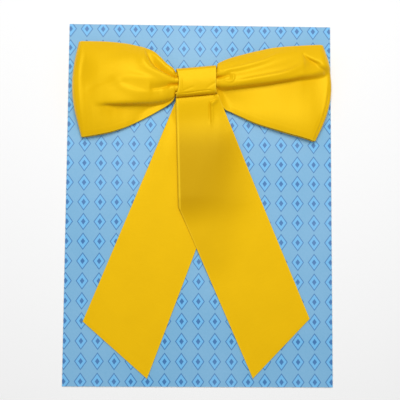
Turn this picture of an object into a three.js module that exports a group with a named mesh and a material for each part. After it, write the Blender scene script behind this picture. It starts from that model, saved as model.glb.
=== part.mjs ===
// A satin neck bow lying on its backing card: two puffed loops, a knot band, two slanted tails and a pin.
// Millimetres. X runs to the right, Y towards the bow's end of the card and Z up from the card's underside.
import * as THREE from "three";

// The card and the cloth. The satin is sewn double and pressed, so a layer is a wall of that thickness.
const CARD = { width: 220, length: 300, thickness: 0.6 };
const CLOTH = 1;
const GAP = 0.3;

// Heights of the middle of each cloth layer in the stack, counted up from the card.
const LAYER = CLOTH + GAP;
const FIRST_LAYER = CARD.thickness + GAP + CLOTH / 2;
const UPPER_TAIL_LAYERS = 3;
const KNOT_BACK = FIRST_LAYER + (UPPER_TAIL_LAYERS + 1) * LAYER;

// The knot is a band that wraps round the necks of both loops, a little turned on the card.
// tilt is its rise for each millimetre to the right, and waist is how far its left edge is drawn in.
const KNOT = {
  x: -3.5,
  y: 99.5,
  halfWidth: 16.5,
  halfHeight: 11.1,
  front: 15,
  corner: 3.2,
  tilt: 0.1,
  waist: 2.4,
  crown: 0.8,
};

// A loop's sections, counted outwards from the knot's centre.
// out: distance from the knot's centre. low and high: the band's two edges, from the knot's centre line.
// lowLift, highLift and crown: heights of the front layer's two edges and of its middle.
// back: height of the back layer.
// end: distance of the outer fold's lower and upper corner, and how far it bulges between them.
// folds: valleys in the front layer that run out from the knot, and fade before their reach.
// start and reach: distances from the knot's centre. from and to: the valley's line there. bend: its curve.
// above and below: the widths of its two flanks at the knot, which grow by spread towards its reach.
const LEFT_LOOP = {
  side: -1,
  end: { low: 94, high: 97.3, bulge: 6, roundness: 1.3 },
  sections: [
    { out: 0, low: -9, high: 9, lowLift: 11.6, highLift: 11.6, crown: 13.6, back: 8.2 },
    { out: 16.7, low: -10.6, high: 7.3, lowLift: 11.4, highLift: 11.4, crown: 13.6, back: 8.2 },
    { out: 18.6, low: -15.2, high: 10.2, lowLift: 8.8, highLift: 11, crown: 13.8, back: 7.2 },
    { out: 24, low: -19.5, high: 14.2, lowLift: 6.2, highLift: 10.4, crown: 14.2, back: 5 },
    { out: 30, low: -23, high: 20.2, lowLift: 5, highLift: 9.8, crown: 14.6, back: 3.2 },
    { out: 36, low: -26.5, high: 25.2, lowLift: 4.4, highLift: 9.2, crown: 15, back: 2.1 },
    { out: 46, low: -31.8, high: 29, lowLift: 4, highLift: 8.6, crown: 15.6, back: 1.5 },
    { out: 60, low: -38.3, high: 32, lowLift: 3.8, highLift: 8.2, crown: 16, back: FIRST_LAYER },
    { out: 78, low: -43.6, high: 33.4, lowLift: 3.6, highLift: 8, crown: 15, back: FIRST_LAYER },
    { out: 97, low: -46.2, high: 33.6, lowLift: 3.4, highLift: 7.6, crown: 12.6, back: FIRST_LAYER },
  ],
  folds: [
    // The deep lower fold, under the broad main ridge.
    { start: 15, reach: 82, from: -13.2, to: -20, bend: 0.5, depth: 5.2, above: 1.8, below: 3.6, spread: 2.2, fade: 0.45 },
    // The crease in the middle, and the soft dent that goes on from it.
    { start: 12, reach: 38, from: -1.7, to: -1.5, bend: 1, depth: 2.2, above: 1.5, below: 1.7, spread: 1.4, fade: 0.6 },
    { start: 12, reach: 64, from: -1.7, to: 0.8, bend: 2, depth: 1.5, above: 2, below: 2.4, spread: 2.2, fade: 0.5 },
    // The scoop below the rolled upper edge.
    { start: 13, reach: 47, from: 4.4, to: 21.5, bend: 1.35, depth: 3, above: 1.9, below: 2.4, spread: 2, fade: 0.6 },
  ],
};

const RIGHT_LOOP = {
  side: 1,
  end: { low: 99.4, high: 106.2, bulge: 9.7, roundness: 1.2 },
  sections: [
    { out: 0, low: -9, high: 9, lowLift: 11.6, highLift: 11.6, crown: 13.6, back: 8.2 },
    { out: 16.7, low: -7.4, high: 10.6, lowLift: 11.4, highLift: 11.4, crown: 13.6, back: 8.2 },
    { out: 18.2, low: -7.8, high: 15, lowLift: 9.8, highLift: 11.2, crown: 13.7, back: 7.6 },
    { out: 21.2, low: -11.2, high: 16.8, lowLift: 7, highLift: 10.8, crown: 13.9, back: 5.8 },
    { out: 24.4, low: -18.6, high: 18.4, lowLift: 4.6, highLift: 10.4, crown: 14.2, back: 3.8 },
    { out: 30, low: -24.1, high: 20.6, lowLift: 4, highLift: 9.8, crown: 14.6, back: 2.2 },
    { out: 38, low: -28, high: 23, lowLift: 3.9, highLift: 9.4, crown: 15, back: 1.6 },
    { out: 50, low: -33.3, high: 26.3, lowLift: 3.8, highLift: 9, crown: 15.6, back: FIRST_LAYER },
    { out: 66, low: -38.3, high: 29.8, lowLift: 3.8, highLift: 8.6, crown: 16, back: FIRST_LAYER },
    { out: 84, low: -43.5, high: 31.6, lowLift: 3.6, highLift: 8.2, crown: 15.2, back: FIRST_LAYER },
    { out: 106, low: -48.4, high: 32.8, lowLift: 3.4, highLift: 7.8, crown: 12.8, back: FIRST_LAYER },
  ],
  folds: [
    // The main valley, which runs the whole way to the outer fold.
    { start: 14, reach: 112, from: -5.6, to: 8, bend: 1.5, depth: 5.4, above: 2, below: 3.6, spread: 2.4, fade: 0.7 },
    // The short crease at the knot, and the shallow hollow that goes on between the two upper ridges.
    { start: 12, reach: 36, from: 3.9, to: 9, bend: 1.2, depth: 2.3, above: 1.6, below: 1.8, spread: 1.6, fade: 0.5 },
    { start: 12, reach: 96, from: 4.2, to: 19, bend: 0.9, depth: 1.5, above: 2.2, below: 2.4, spread: 2.4, fade: 0.5 },
  ],
};

// A tail is a flat band whose inner margin is turned under along a fold line near the knot.
// top, corner and tip: ends of its outer edge and the point of its slanted cut. inner: a point on its inner edge.
// foldTop and foldEnd: the two ends of the fold line, at the knot and where it meets the inner edge.
const TAIL_TOP = 95;
const LEFT_TAIL = {
  side: -1,
  top: { x: -19.9, y: 84.9 },
  corner: { x: -94.1, y: -97.7 },
  tip: { x: -41.2, y: -143.5 },
  inner: { x: -1.9, y: -37.8 },
  foldTop: { x: 12, y: 87 },
  foldEnd: { x: 11.6, y: 1 },
};
const RIGHT_TAIL = {
  side: 1,
  top: { x: 14.3, y: 91.8 },
  corner: { x: 91.2, y: -94.6 },
  tip: { x: 44.6, y: -143 },
  inner: { x: -1.9, y: -37.9 },
  foldTop: { x: -19, y: 87 },
  foldEnd: { x: -16.2, y: 1 },
};
const TAIL_TURN = LAYER / 2;
const FLAP_MARGIN = 1.6;
const DRAPE = { shelf: 8, slope: 12 };

// The pin on the knot's back: a flat closed loop of wire with a broad clasp end.
const PIN = { length: 30, width: 7, wire: 1.2, clasp: 6, y: 102.4 };

// How finely each surface is divided.
const LOOP_ROWS = { neck: 3, front: 12, turn: 5, back: 9 };
const LOOP_COLUMNS = 24;
const TAIL_ROWS = { folded: 13, open: 7 };
const TAIL_COLUMNS = { main: 7, turn: 4, flap: 4 };
const KNOT_STEPS = { around: 40, across: 5 };

const satin = () => new THREE.MeshStandardMaterial({ color: 0xf2bf12, roughness: 0.34, metalness: 0 });
const board = () => new THREE.MeshStandardMaterial({ color: 0x8fc3ea, roughness: 0.62, metalness: 0 });
const steel = () => new THREE.MeshStandardMaterial({ color: 0xc4c7cb, roughness: 0.3, metalness: 1 });

const lerp = THREE.MathUtils.lerp;
const clamp = THREE.MathUtils.clamp;
const smooth = (low, high, x) => THREE.MathUtils.smoothstep(x, low, high);

// The x of the straight line through two points, at a height y.
function lineX(a, b, y) {
  return a.x + ((b.x - a.x) * (y - a.y)) / (b.y - a.y);
}

// A smooth value between the rows of a table, with no overshoot past a row.
function tableValue(rows, column, out) {
  const last = rows.length - 1;
  const slope = (i) => (rows[i + 1][column] - rows[i][column]) / (rows[i + 1].out - rows[i].out);
  const tangent = (i) => {
    if (i === 0 || i === last) return 0;
    const before = slope(i - 1);
    const after = slope(i);
    return before * after <= 0 ? 0 : (2 * before * after) / (before + after);
  };
  const at = clamp(out, rows[0].out, rows[last].out);
  let i = 0;
  while (i < last - 1 && at > rows[i + 1].out) i += 1;
  const span = rows[i + 1].out - rows[i].out;
  const f = (at - rows[i].out) / span;
  const start = (1 + 2 * f) * (1 - f) ** 2 * rows[i][column] + f * (1 - f) ** 2 * span * tangent(i);
  const end = f * f * (3 - 2 * f) * rows[i + 1][column] + f * f * (f - 1) * span * tangent(i + 1);
  return start + end;
}

// The larger of two heights, with the corner between them rounded over a width.
function softMax(a, b, width) {
  const h = clamp(0.5 + (a - b) / (2 * width), 0, 1);
  return lerp(b, a, h) + width * h * (1 - h);
}

// A closed solid of even thickness round a grid of points in the middle of the cloth.
// With ring set, the last row of points meets the first.
function clothSolid(grid, thickness, ring = false) {
  const rows = grid.length;
  const columns = grid[0].length;
  const rowAt = (i) => (ring ? (i + rows) % rows : clamp(i, 0, rows - 1));
  const point = (i, j) => grid[rowAt(i)][clamp(j, 0, columns - 1)];
  const positions = [];
  for (const face of [1, -1]) {
    for (let i = 0; i < rows; i += 1) {
      for (let j = 0; j < columns; j += 1) {
        const along = point(i + 1, j).clone().sub(point(i - 1, j));
        const across = point(i, j + 1).clone().sub(point(i, j - 1));
        const normal = along.cross(across).normalize();
        positions.push(...point(i, j).clone().addScaledVector(normal, (face * thickness) / 2));
      }
    }
  }
  const top = (i, j) => rowAt(i) * columns + j;
  const under = (i, j) => rows * columns + top(i, j);
  const index = [];
  const rim = (p, q) => {
    index.push(top(...q), top(...p), under(...p));
    index.push(top(...q), under(...p), under(...q));
  };
  const steps = ring ? rows : rows - 1;
  for (let i = 0; i < steps; i += 1) {
    for (let j = 0; j < columns - 1; j += 1) {
      index.push(top(i, j), top(i + 1, j), top(i + 1, j + 1));
      index.push(top(i, j), top(i + 1, j + 1), top(i, j + 1));
      index.push(under(i, j), under(i + 1, j + 1), under(i + 1, j));
      index.push(under(i, j), under(i, j + 1), under(i + 1, j + 1));
    }
    rim([i, 0], [i + 1, 0]);
    rim([i + 1, columns - 1], [i, columns - 1]);
  }
  if (!ring) {
    for (let j = 0; j < columns - 1; j += 1) {
      rim([rows - 1, j], [rows - 1, j + 1]);
      rim([0, j + 1], [0, j]);
    }
  }
  const geometry = new THREE.BufferGeometry();
  geometry.setAttribute("position", new THREE.Float32BufferAttribute(positions, 3));
  geometry.setIndex(index);
  geometry.computeVertexNormals();
  return geometry;
}

function mesh(name, geometry, material) {
  const made = new THREE.Mesh(geometry, material);
  made.name = name;
  return made;
}

// How deep one fold is at a point of the loop's plan.
function foldDepth(fold, out, height) {
  const f = clamp((out - fold.start) / (fold.reach - fold.start), 0, 1);
  const line = lerp(fold.from, fold.to, f ** fold.bend);
  const wide = (height > line ? fold.above : fold.below) * lerp(1, fold.spread, f);
  return fold.depth * (1 - smooth(fold.fade, 1, f)) * Math.exp(-(((height - line) / wide) ** 2));
}

// The height of a loop's front layer: a crowned form less its folds, always clear of the back layer.
function frontHeight(loop, out, across) {
  const value = (column) => tableValue(loop.sections, column, out);
  const height = lerp(value("low"), value("high"), across);
  const edges = lerp(value("lowLift"), value("highLift"), across);
  const middle = (value("lowLift") + value("highLift")) / 2;
  const crowned = edges + (value("crown") - middle) * (1 - Math.abs(2 * across - 1) ** 2.2);
  const depth = loop.folds.reduce((sum, fold) => sum + foldDepth(fold, out, height), 0);
  return softMax(crowned - depth, value("back") + LAYER + GAP, 0.8);
}

// One point of a loop: out from the knot along the front layer, round the outer fold and back behind.
function loopPoint(loop, row, across) {
  const { neck, front, turn, back } = LOOP_ROWS;
  const { low, high, bulge, roundness } = loop.end;
  const neckEnd = loop.sections[1].out;
  const end = lerp(low, high, across) + bulge * (4 * across * (1 - across)) ** roundness;
  const foldTop = frontHeight(loop, end, across);
  const foldLow = tableValue(loop.sections, "back", end);
  const radius = (foldTop - foldLow) / 2;
  const reach = end - radius;
  let out;
  let z;
  if (row <= neck) {
    out = lerp(GAP / 2, neckEnd, row / neck);
    z = frontHeight(loop, out, across);
  } else if (row <= neck + front) {
    out = lerp(neckEnd, reach, ((row - neck) / front) ** 1.5);
    z = lerp(frontHeight(loop, out, across), foldTop, smooth(reach - radius, reach, out));
  } else if (row < neck + front + turn) {
    const angle = (Math.PI * (row - neck - front)) / turn;
    out = reach + radius * Math.sin(angle);
    z = foldLow + radius * (1 + Math.cos(angle));
  } else {
    const f = (row - neck - front - turn) / (back - 1);
    out = f <= 1 ? lerp(reach, neckEnd, f ** 0.8) : GAP / 2;
    z = tableValue(loop.sections, "back", out);
  }
  const y = lerp(tableValue(loop.sections, "low", out), tableValue(loop.sections, "high", out), across);
  return new THREE.Vector3(KNOT.x + loop.side * out, KNOT.y + y, z);
}

function loopGeometry(loop) {
  const rows = LOOP_ROWS.neck + LOOP_ROWS.front + LOOP_ROWS.turn + LOOP_ROWS.back;
  const grid = [];
  for (let i = 0; i <= rows; i += 1) {
    grid.push([]);
    for (let j = 0; j <= LOOP_COLUMNS; j += 1) grid[i].push(loopPoint(loop, i, j / LOOP_COLUMNS));
  }
  return clothSolid(grid, CLOTH);
}

// Where the turned-under flap of a tail ends, mirrored from the inner edge about the fold line.
function flapEdge(tail, y) {
  const fold = lineX(tail.foldTop, tail.foldEnd, y);
  const outer = lineX(tail.top, tail.corner, y);
  const mirrored = 2 * fold - lineX(tail.inner, tail.tip, y);
  return tail.side > 0
    ? Math.min(mirrored, outer - FLAP_MARGIN)
    : Math.max(mirrored, outer + FLAP_MARGIN);
}

// The lower tail lies on the card, and its upper layer is lifted by its own flap.
function leftTailHeight(x, y) {
  const flap = flapEdge(LEFT_TAIL, y);
  return FIRST_LAYER + LAYER * smooth(flap - 9, flap - 1, x) * smooth(-14, 0, y);
}

// The upper tail lies on the lower tail and its own flap, and comes down to the card beside and below them.
function rightTailHeight(x, y) {
  const under = Math.min(LEFT_TAIL.foldTop.x, lineX(LEFT_TAIL.inner, LEFT_TAIL.tip, y));
  const edge = Math.max(under, flapEdge(RIGHT_TAIL, y)) + DRAPE.shelf;
  const onOneLayer = smooth(-75, -45, y);
  const onThreeLayers = smooth(-22, 6, y);
  const layers = onOneLayer + (UPPER_TAIL_LAYERS - 1) * onThreeLayers;
  return FIRST_LAYER + LAYER * layers * (1 - smooth(edge, edge + DRAPE.slope, x));
}

// One row of a tail, from its outer edge to the fold line, round the turn and under to the flap's edge.
function tailRow(tail, heightAt, outer, inner, fold) {
  const { main, turn, flap } = TAIL_COLUMNS;
  const edgeWidth = 2;
  const whole = Math.hypot(inner.x - outer.x, inner.y - outer.y);
  const toFold = Math.min(Math.abs(fold - outer.x), whole);
  const turnLength = Math.PI * TAIL_TURN;
  const longest = 2 * toFold + turnLength - FLAP_MARGIN;
  const total = Math.min(whole, longest);
  const mainEnd = Math.min(toFold, total - 2 * edgeWidth);
  const turnEnd = Math.min(mainEnd + turnLength, total - edgeWidth);
  const row = [];
  for (let j = 0; j <= main + turn + flap; j += 1) {
    let at;
    if (j <= main) at = lerp(0, mainEnd, j / main);
    else if (j <= main + turn) at = lerp(mainEnd, turnEnd, (j - main) / turn);
    else at = lerp(turnEnd, total, (j - main - turn) / flap);
    const angle = clamp((at - toFold) / TAIL_TURN, 0, Math.PI);
    const past = Math.max(0, at - toFold - turnLength);
    const along = Math.min(at, toFold) + TAIL_TURN * Math.sin(angle) - past;
    const x = lerp(outer.x, inner.x, along / whole);
    const y = lerp(outer.y, inner.y, along / whole);
    const z = heightAt(x, y) - TAIL_TURN * (1 - Math.cos(angle));
    row.push(new THREE.Vector3(x, y, z));
  }
  return row;
}

function tailGeometry(tail, heightAt) {
  const grid = [];
  const openY = tail.foldEnd.y - 8;
  for (let i = 0; i <= TAIL_ROWS.folded; i += 1) {
    const y = lerp(TAIL_TOP, openY, i / TAIL_ROWS.folded);
    const outer = { x: lineX(tail.top, tail.corner, y), y };
    const inner = { x: lineX(tail.inner, tail.tip, y), y };
    grid.push(tailRow(tail, heightAt, outer, inner, lineX(tail.foldTop, tail.foldEnd, y)));
  }
  for (let i = 1; i <= TAIL_ROWS.open; i += 1) {
    const outerY = lerp(openY, tail.corner.y, i / TAIL_ROWS.open);
    const innerY = lerp(openY, tail.tip.y, i / TAIL_ROWS.open);
    const outer = { x: lineX(tail.top, tail.corner, outerY), y: outerY };
    const inner = { x: lineX(tail.inner, tail.tip, innerY), y: innerY };
    grid.push(tailRow(tail, heightAt, outer, inner, -tail.side * Infinity));
  }
  return clothSolid(grid, CLOTH);
}

// The knot band: a rounded oblong section carried across, waisted on its left and tilted on the card.
function knotGeometry() {
  const halfDepth = (KNOT.front - KNOT_BACK) / 2;
  const centre = (KNOT.front + KNOT_BACK) / 2;
  const flatY = KNOT.halfHeight - KNOT.corner;
  const flatZ = halfDepth - KNOT.corner;
  const section = new THREE.Path();
  section.absarc(flatY, flatZ, KNOT.corner, 0, Math.PI / 2);
  section.absarc(-flatY, flatZ, KNOT.corner, Math.PI / 2, Math.PI);
  section.absarc(-flatY, -flatZ, KNOT.corner, Math.PI, 1.5 * Math.PI);
  section.absarc(flatY, -flatZ, KNOT.corner, 1.5 * Math.PI, 2 * Math.PI);
  section.closePath();
  const around = section.getSpacedPoints(KNOT_STEPS.around).slice(0, KNOT_STEPS.around);
  const grid = around.map((p) => {
    const inward = 1 - (p.x / KNOT.halfHeight) ** 2;
    const lift = p.y > 0 ? KNOT.crown * inward : 0;
    const row = [];
    for (let j = 0; j <= KNOT_STEPS.across; j += 1) {
      const left = -KNOT.halfWidth + (p.y > 0 ? KNOT.waist * inward : 0);
      const x = lerp(left, KNOT.halfWidth, j / KNOT_STEPS.across);
      row.push(new THREE.Vector3(KNOT.x + x, KNOT.y + p.x + KNOT.tilt * x, centre + p.y + lift));
    }
    return row;
  });
  return clothSolid(grid, CLOTH, true);
}

function stadium(path, length, width, shift) {
  const radius = width / 2;
  const straight = length / 2 - radius;
  path.absarc(shift + straight, 0, radius, -Math.PI / 2, Math.PI / 2);
  path.absarc(shift - straight, 0, radius, Math.PI / 2, 1.5 * Math.PI);
  path.closePath();
  return path;
}

function pinMesh() {
  const outline = stadium(new THREE.Shape(), PIN.length, PIN.width, 0);
  const holeLength = PIN.length - PIN.wire - PIN.clasp;
  const shift = (PIN.clasp - PIN.wire) / 2;
  outline.holes.push(stadium(new THREE.Path(), holeLength, PIN.width - 2 * PIN.wire, shift));
  const geometry = new THREE.ExtrudeGeometry(outline, {
    depth: PIN.wire,
    bevelEnabled: false,
    curveSegments: 6,
  });
  const pin = mesh("pin", geometry, steel());
  pin.position.set(KNOT.x, PIN.y, KNOT_BACK - CLOTH / 2 - GAP - PIN.wire);
  return pin;
}

function cardMesh() {
  const geometry = new THREE.BoxGeometry(CARD.width, CARD.length, CARD.thickness);
  const card = mesh("backing_card", geometry, board());
  card.position.z = CARD.thickness / 2;
  return card;
}

const neckBow = new THREE.Group();
neckBow.name = "neck_bow_on_card";
neckBow.add(cardMesh());
neckBow.add(pinMesh());
neckBow.add(mesh("tail_left", tailGeometry(LEFT_TAIL, leftTailHeight), satin()));
neckBow.add(mesh("tail_right", tailGeometry(RIGHT_TAIL, rightTailHeight), satin()));
neckBow.add(mesh("loop_left", loopGeometry(LEFT_LOOP), satin()));
neckBow.add(mesh("loop_right", loopGeometry(RIGHT_LOOP), satin()));
neckBow.add(mesh("knot", knotGeometry(), satin()));

export default neckBow;
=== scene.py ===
from collections import namedtuple

import bpy
import numpy as np
from mathutils import Matrix, Vector


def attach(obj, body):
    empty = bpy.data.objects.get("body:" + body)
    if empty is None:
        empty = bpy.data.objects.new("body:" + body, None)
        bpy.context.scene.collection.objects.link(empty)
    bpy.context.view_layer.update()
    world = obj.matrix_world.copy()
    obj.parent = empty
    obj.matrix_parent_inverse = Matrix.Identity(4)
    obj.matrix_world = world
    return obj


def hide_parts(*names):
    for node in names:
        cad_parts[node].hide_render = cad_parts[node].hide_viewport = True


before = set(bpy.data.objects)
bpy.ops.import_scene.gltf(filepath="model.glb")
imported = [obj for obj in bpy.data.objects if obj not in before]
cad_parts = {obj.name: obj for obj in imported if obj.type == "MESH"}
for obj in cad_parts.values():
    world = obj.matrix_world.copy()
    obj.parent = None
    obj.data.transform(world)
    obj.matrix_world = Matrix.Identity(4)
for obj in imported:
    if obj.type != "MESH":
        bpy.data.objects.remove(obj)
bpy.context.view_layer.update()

MM = 0.001

# The card and the stack of cloth layers on it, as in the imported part.
CARD = {"width": 220, "length": 300, "thickness": 0.6, "corner": 0.8, "bevel": 0.12}
CLOTH = 1.0
GAP = 0.3
LAYER = CLOTH + GAP
FIRST_LAYER = CARD["thickness"] + GAP + CLOTH / 2
KNOT_BACK = FIRST_LAYER + 4 * LAYER

# The cloth's wall, which its turned-in hem thickens to the full cloth.
WALL = 0.9
HEM = {"rise": 0.1, "start": (0.2, 0.8), "end": (4.6, 5.6)}

KNOT = {
    "x": -3.5, "y": 99.5, "half_width": 16.5, "half_height": 11.1, "front": 15, "corner": 2.6, "tilt": 0.1,
    "waist": 2.4, "waist_blend": (-0.5, 1.5), "crown": 0.8, "crown_up": 2, "fall": 0.8, "fall_up": 1.5,
}

# A loop's sections, counted outwards from the knot's centre. low and high are the front layer's two edges,
# low_lift, high_lift and crown its height there and in the middle. back_low is the back layer's lower edge
# and back its height.
Section = namedtuple("Section", "out low high low_lift high_lift crown back_low back")

# One place along a fold of a front layer. up is where its floor runs, above and below are the widths of its
# two flanks, and lean is how far the upper flank's lip hangs over it, or the lower's where it is negative.
Crease = namedtuple("Crease", "out up depth above below lean")

# A fold's rows and the powers of its two flanks' profiles: low for a sharp floor, high for a flat floor and
# a sharp lip.
Fold = namedtuple("Fold", "above_power below_power rows")

# A stroke is a line that runs freely over a front layer or a tail. Each of its rows holds a place, out and
# up or, on a tail, x and y, how far the cloth is raised there or, below 0, sunk, and the line's widths to
# the left and to the right of one who walks along it.

# A shallow oval hollow at a distance out from the knot and up from its centre line. turn is in degrees.
Dent = namedtuple("Dent", "out up long wide turn depth")

# A pleat that stands up in a back layer. at and wide are shares of the band's width.
Pleat = namedtuple("Pleat", "at wide height start end")

# A wave over a front layer: its share of the full height, its lengths outwards and up, and where it starts.
Wave = namedtuple("Wave", "share out up start")

# A straight line sunk into the knot's front, from one place to another. wave is how far it sways, and
# fade_in and fade_out are the stretches of x over which it comes and goes.
Groove = namedtuple("Groove", "x up to_x to_up wave depth width fade_in fade_out")


def table(kind, *rows):
    """The rows of a table, with their columns' names."""
    return [kind(*row) for row in rows]


LEFT_SECTIONS = table(
    Section,
    (0, -9, 9, 9.9, 11.6, 13.6, -9, 8.2),
    (16.7, -10.6, 7.3, 9.9, 11.4, 13.6, -10.6, 8.2),
    (18.6, -15.2, 10.2, 7.6, 11, 13.8, -15.2, 6),
    (24, -19.5, 14.2, 4.8, 11.4, 14.2, -19.5, 3.1),
    (30, -23, 20.2, 3.8, 11.6, 14.6, -23, 2.1),
    (36, -26.5, 25.2, 4, 10.8, 15, -26.5, 1.8),
    (46, -31.8, 29, 4.6, 9.2, 15.6, -31.8, 1.5),
    (60, -38.3, 32, 5.8, 8.2, 16, -38.3, FIRST_LAYER),
    (78, -43.6, 33.4, 6, 8, 15.2, -43.6, FIRST_LAYER),
    (97, -46.2, 33.6, 5.2, 7.6, 13.6, -46.2, FIRST_LAYER),
)

LEFT_FOLDS = {
    "main_valley": Fold(2.4, 2, table(
        Crease,
        (0, -5.6, 3.2, 1.2, 1.6, 0),
        (16.7, -9.6, 2.6, 1.2, 2.4, 0.2),
        (18.8, -14.6, 3, 1.7, 3, 0.8),
        (24, -18.6, 3.4, 4.1, 4.4, 1),
        (30, -20.2, 4.4, 4.3, 8, 1.2),
        (38, -20.8, 5.2, 3.9, 10, 1.5),
        (46, -20.6, 5.6, 3.2, 12, 1.7),
        (58, -20.8, 6.3, 3, 15, 2.2),
        (67, -21.1, 4.8, 2.8, 16, 2),
        (74, -22, 2.6, 3, 15, 1),
        (80, -22.8, 0.8, 3, 14, 0.3),
        (86, -23, 0, 3.4, 12, 0),
    )),
    "middle_pocket": Fold(1.8, 1.3, table(
        Crease,
        (0, -2.6, 3.3, 1.2, 1.2, 0),
        (17, -2.9, 3.2, 1.2, 1.2, 0),
        (20.5, -3.1, 3, 1.5, 1.2, 0),
        (24, -4.2, 2.6, 2.6, 1.8, 0),
        (28, -5, 2.5, 3, 2.2, 0),
        (32, -5.6, 2.2, 3.2, 1.8, 0),
        (35.4, -6, 1.7, 3.2, 1.6, 0),
        (38.6, -6, 0, 3.2, 1.6, 0),
    )),
    "upper_scoop": Fold(1.3, 1.8, table(
        Crease,
        (0, 3.6, 3.4, 1.2, 1.2, 0),
        (17, 3.2, 3.4, 1.8, 1.1, -0.3),
        (21, 4.3, 3.6, 3.4, 1.1, -0.3),
        (25.2, 6.5, 4.2, 5.2, 1.2, -0.3),
        (29.6, 9.2, 4.8, 7, 1.4, -0.2),
        (33.3, 11.6, 4.6, 8, 1.6, -0.1),
        (36.4, 14.8, 3.6, 8.6, 1.8, 0),
        (39, 18.6, 2.2, 9, 2, 0),
        (41, 22.6, 1.1, 9, 2.2, 0),
        (43.5, 27, 0, 9, 2.6, 0),
    )),
}

LEFT_STROKES = {
    "scoop_rim": [
        (20, 1.4, 0, 1, 2.4), (26.8, 3.8, 0.3, 1.1, 3), (32.5, 6.2, 0.6, 1.3, 3.6),
        (37.4, 9.2, 0.8, 1.5, 4.4), (40.9, 12.8, 0.9, 1.6, 5), (42.9, 17, 0.9, 1.7, 5),
        (43.2, 22, 0.5, 1.8, 5), (42.6, 27, 0, 1.8, 5),
    ],
    "scoop_edge": [
        (16, 6.4, 0, 1.2, 2), (21, 11.6, 1, 1.4, 3), (27, 16.8, 1.3, 1.6, 4),
        (33, 22.2, 1.2, 1.8, 4), (39, 25.8, 0.8, 2, 4), (47, 28.4, 0, 2, 4),
    ],
    "oval_top": [
        (33, 0.4, 0, 2, 2.4), (39, 1, 0.6, 2.6, 4), (46, 1.9, 1, 2.8, 5),
        (55, 2.4, 0.9, 3.6, 5), (60.6, 1.1, 0.7, 5, 3.4), (63.4, -1.8, 0.5, 6, 2.6),
        (63, -4.4, 0, 5, 2.4),
    ],
    "oval_foot": [
        (63.4, -1.2, 0, 2.6, 2.6), (61.4, -4.4, 0.4, 3.6, 2.4), (57, -6.4, 0.6, 3.6, 1.8),
        (48, -8.7, 0.7, 4.4, 1.3), (40, -9.4, 0.4, 4.4, 1.3), (35, -9.4, 0, 3, 1.3),
    ],
    "pocket_foot": [
        (22, -8.4, 0, 2.2, 3), (27, -8.8, -0.5, 2.4, 4), (32, -9.6, -0.5, 2.6, 4),
        (38, -10, -0.25, 3, 4), (46, -10.4, 0, 3, 4),
    ],
    "low_shade": [
        (66, 1, 0, 3, 2), (74, -1.4, -0.35, 3.2, 2.2), (84, -5.5, -0.4, 3.4, 2.4),
        (92, -11, 0, 3.4, 2.4),
    ],
}

LEFT_LOOP = {
    "node": "loop_left", "side": -1, "band": 80,
    "end": {"low": 94, "high": 97.3, "bulge": 6, "roundness": 1.3},
    "sections": LEFT_SECTIONS, "folds": LEFT_FOLDS, "strokes": LEFT_STROKES,
    "dents": [Dent(97.5, 7.5, 11, 9, 112, 2), Dent(68, 22, 13, 5, -18, 0.3)],
    "strip": {"angle": 0.3, "depth": 0.18, "width": 0.8, "rise": (-0.05, 0.15), "fall": (0.55, 0.75)},
    "back_pleats": table(
        Pleat,
        (0.36, 0.045, 2.2, 20, 62), (0.54, 0.035, 2, 20, 66), (0.7, 0.04, 2.4, 20, 66),
        (0.87, 0.04, 1.8, 20, 54),
    ),
}

RIGHT_SECTIONS = table(
    Section,
    (0, -9, 9, 9.9, 11.6, 13.6, -9, 8.2),
    (16.7, -8.6, 10.6, 9.9, 11.4, 13.6, -7.4, 8.2),
    (18.2, -11.3, 15, 7.9, 11.2, 13.7, -7.8, 6),
    (21.2, -17.3, 16.8, 6.3, 10.8, 13.9, -11.2, 4.3),
    (24.4, -22, 18.4, 5.2, 10.4, 14.2, -18.6, 3.1),
    (30, -24.4, 20.6, 5.8, 9.8, 14.6, -24.1, 2.2),
    (38, -28, 23, 6.4, 9.4, 15, -28, 1.6),
    (50, -33.3, 26.3, 7, 9, 15.6, -33.3, FIRST_LAYER),
    (66, -38.3, 29.8, 7.2, 8.6, 16, -38.3, FIRST_LAYER),
    (84, -43.5, 31.6, 7, 8.2, 15.4, -43.5, FIRST_LAYER),
    (106, -48.4, 32.8, 6.2, 7.8, 14.6, -48.4, FIRST_LAYER),
)

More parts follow.
